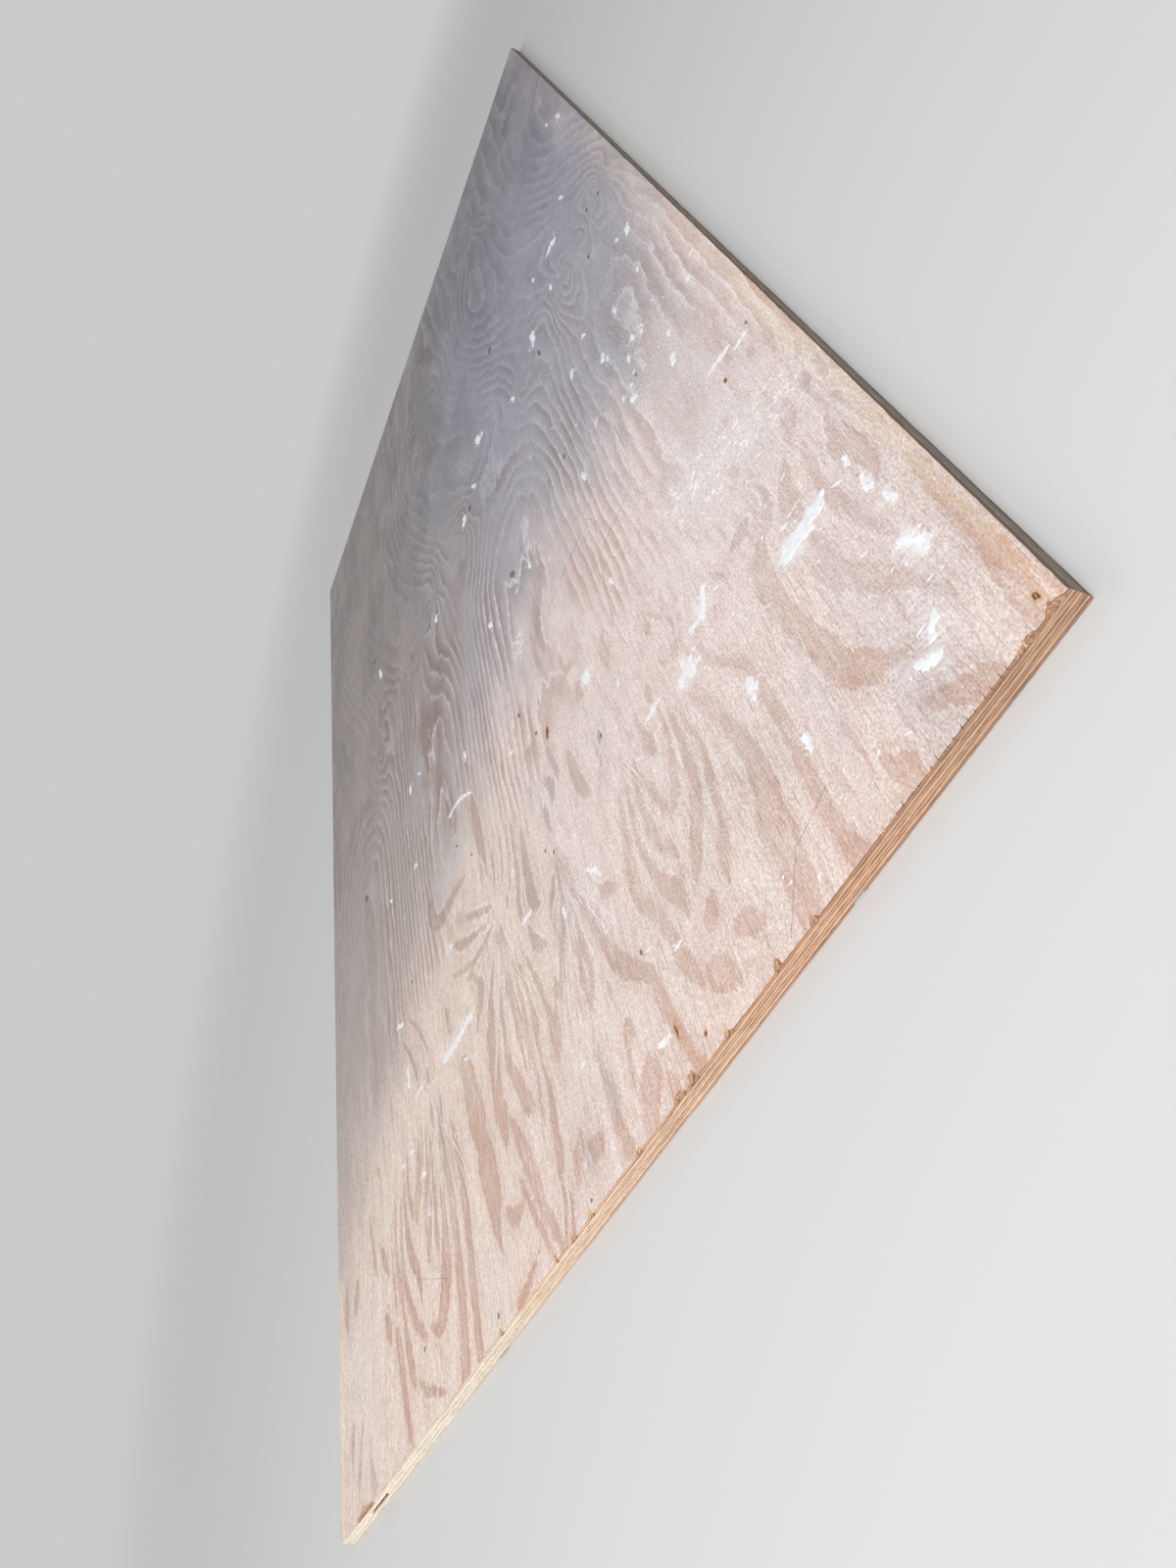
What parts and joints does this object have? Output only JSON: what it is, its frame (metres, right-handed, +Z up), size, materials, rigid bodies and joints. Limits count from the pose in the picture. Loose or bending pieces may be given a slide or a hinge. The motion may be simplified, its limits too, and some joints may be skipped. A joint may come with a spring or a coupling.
{
  "type": "plywood sheet",
  "caption": "Used structural pine plywood sheet of crosswise veneers, one end freshly sawn, with chipped and splintered face edge.",
  "frame": {"origin": "middle of the underside", "axes": "+X along the face grain towards the sawn end, +Y across the sheet towards the upper long edge, +Z up out of the face"},
  "size_m": [2, 1.2, 0.017],
  "materials": {
    "weathered_face": "bare, weathered, dusty with plaster smears",
    "pine_across": "bare, sawn",
    "pine_along": "bare, sawn",
    "back_face": "bare, unsanded"
  },
  "bodies": {
    "root": {"face_veneer": "weathered_face", "upper_crossband": "pine_across", "upper_inner_ply": "pine_along", "core_ply": "pine_across", "lower_inner_ply": "pine_along", "lower_crossband": "pine_across", "back_veneer": "back_face"}
  },
  "joints": []
}
